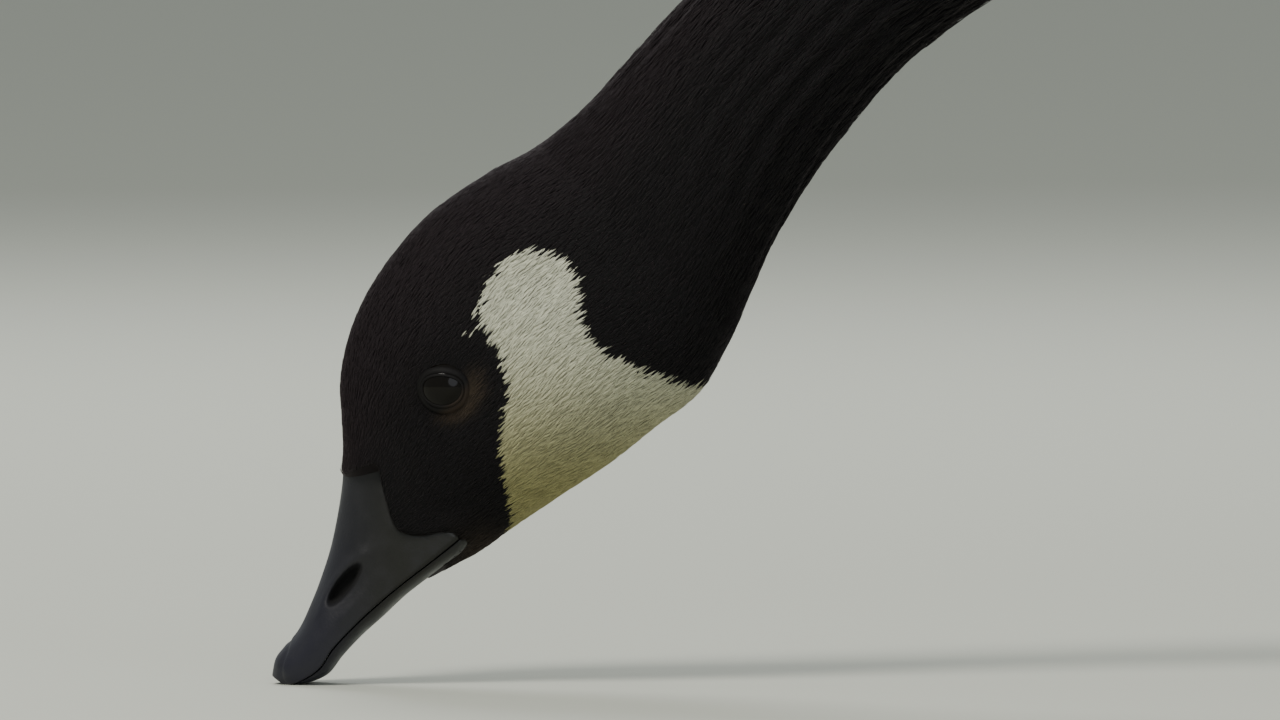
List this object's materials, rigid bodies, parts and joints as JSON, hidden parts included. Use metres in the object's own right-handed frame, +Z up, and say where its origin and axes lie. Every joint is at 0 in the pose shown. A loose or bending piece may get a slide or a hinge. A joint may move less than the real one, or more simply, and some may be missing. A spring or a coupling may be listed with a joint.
{
  "type": "canada goose",
  "caption": "Life-size still model of a grazing Canada goose, standing on both webbed feet with the neck lowered and the bill tip on the ground.",
  "frame": {"origin": "on the floor, under the middle of the bird's length and width", "axes": "+X from the bill towards the tail, +Y to the bird's right side, +Z up; the bird faces -X"},
  "size_m": [0.8596, 0.2182, 0.341],
  "materials": {
    "black_plumage": "soft black feathers",
    "brown_plumage": "soft brown feathers with pale edges",
    "white_plumage": "soft white feathers",
    "wing_plumage": "brown wing feathers with pale edges",
    "flight_feather": "blackish flight feathers",
    "bill_horn": "black, soft gloss",
    "eye": "wet gloss, very dark brown",
    "leg_skin": "black scaled skin",
    "claw": "black horn"
  },
  "bodies": {
    "root": {"head": "black_plumage", "neck_upper": "black_plumage", "neck_lower": "black_plumage", "torso": "brown_plumage", "rump": "white_plumage", "tail": "flight_feather", "wing_left_arm": "wing_plumage", "wing_right_arm": "wing_plumage", "wing_left_hand": "flight_feather", "wing_right_hand": "flight_feather", "thigh_left": "brown_plumage", "thigh_right": "brown_plumage", "bill_upper": "bill_horn", "bill_nail": "bill_horn", "bill_lower": "bill_horn", "eye_left": "eye", "eye_right": "eye", "shank_left": "leg_skin", "shank_right": "leg_skin", "foot_left": "leg_skin", "foot_right": "leg_skin", "claw_left_inner": "claw", "claw_left_middle": "claw", "claw_left_outer": "claw", "claw_left_hind": "claw", "claw_right_inner": "claw", "claw_right_middle": "claw", "claw_right_outer": "claw", "claw_right_hind": "claw"}
  },
  "joints": []
}
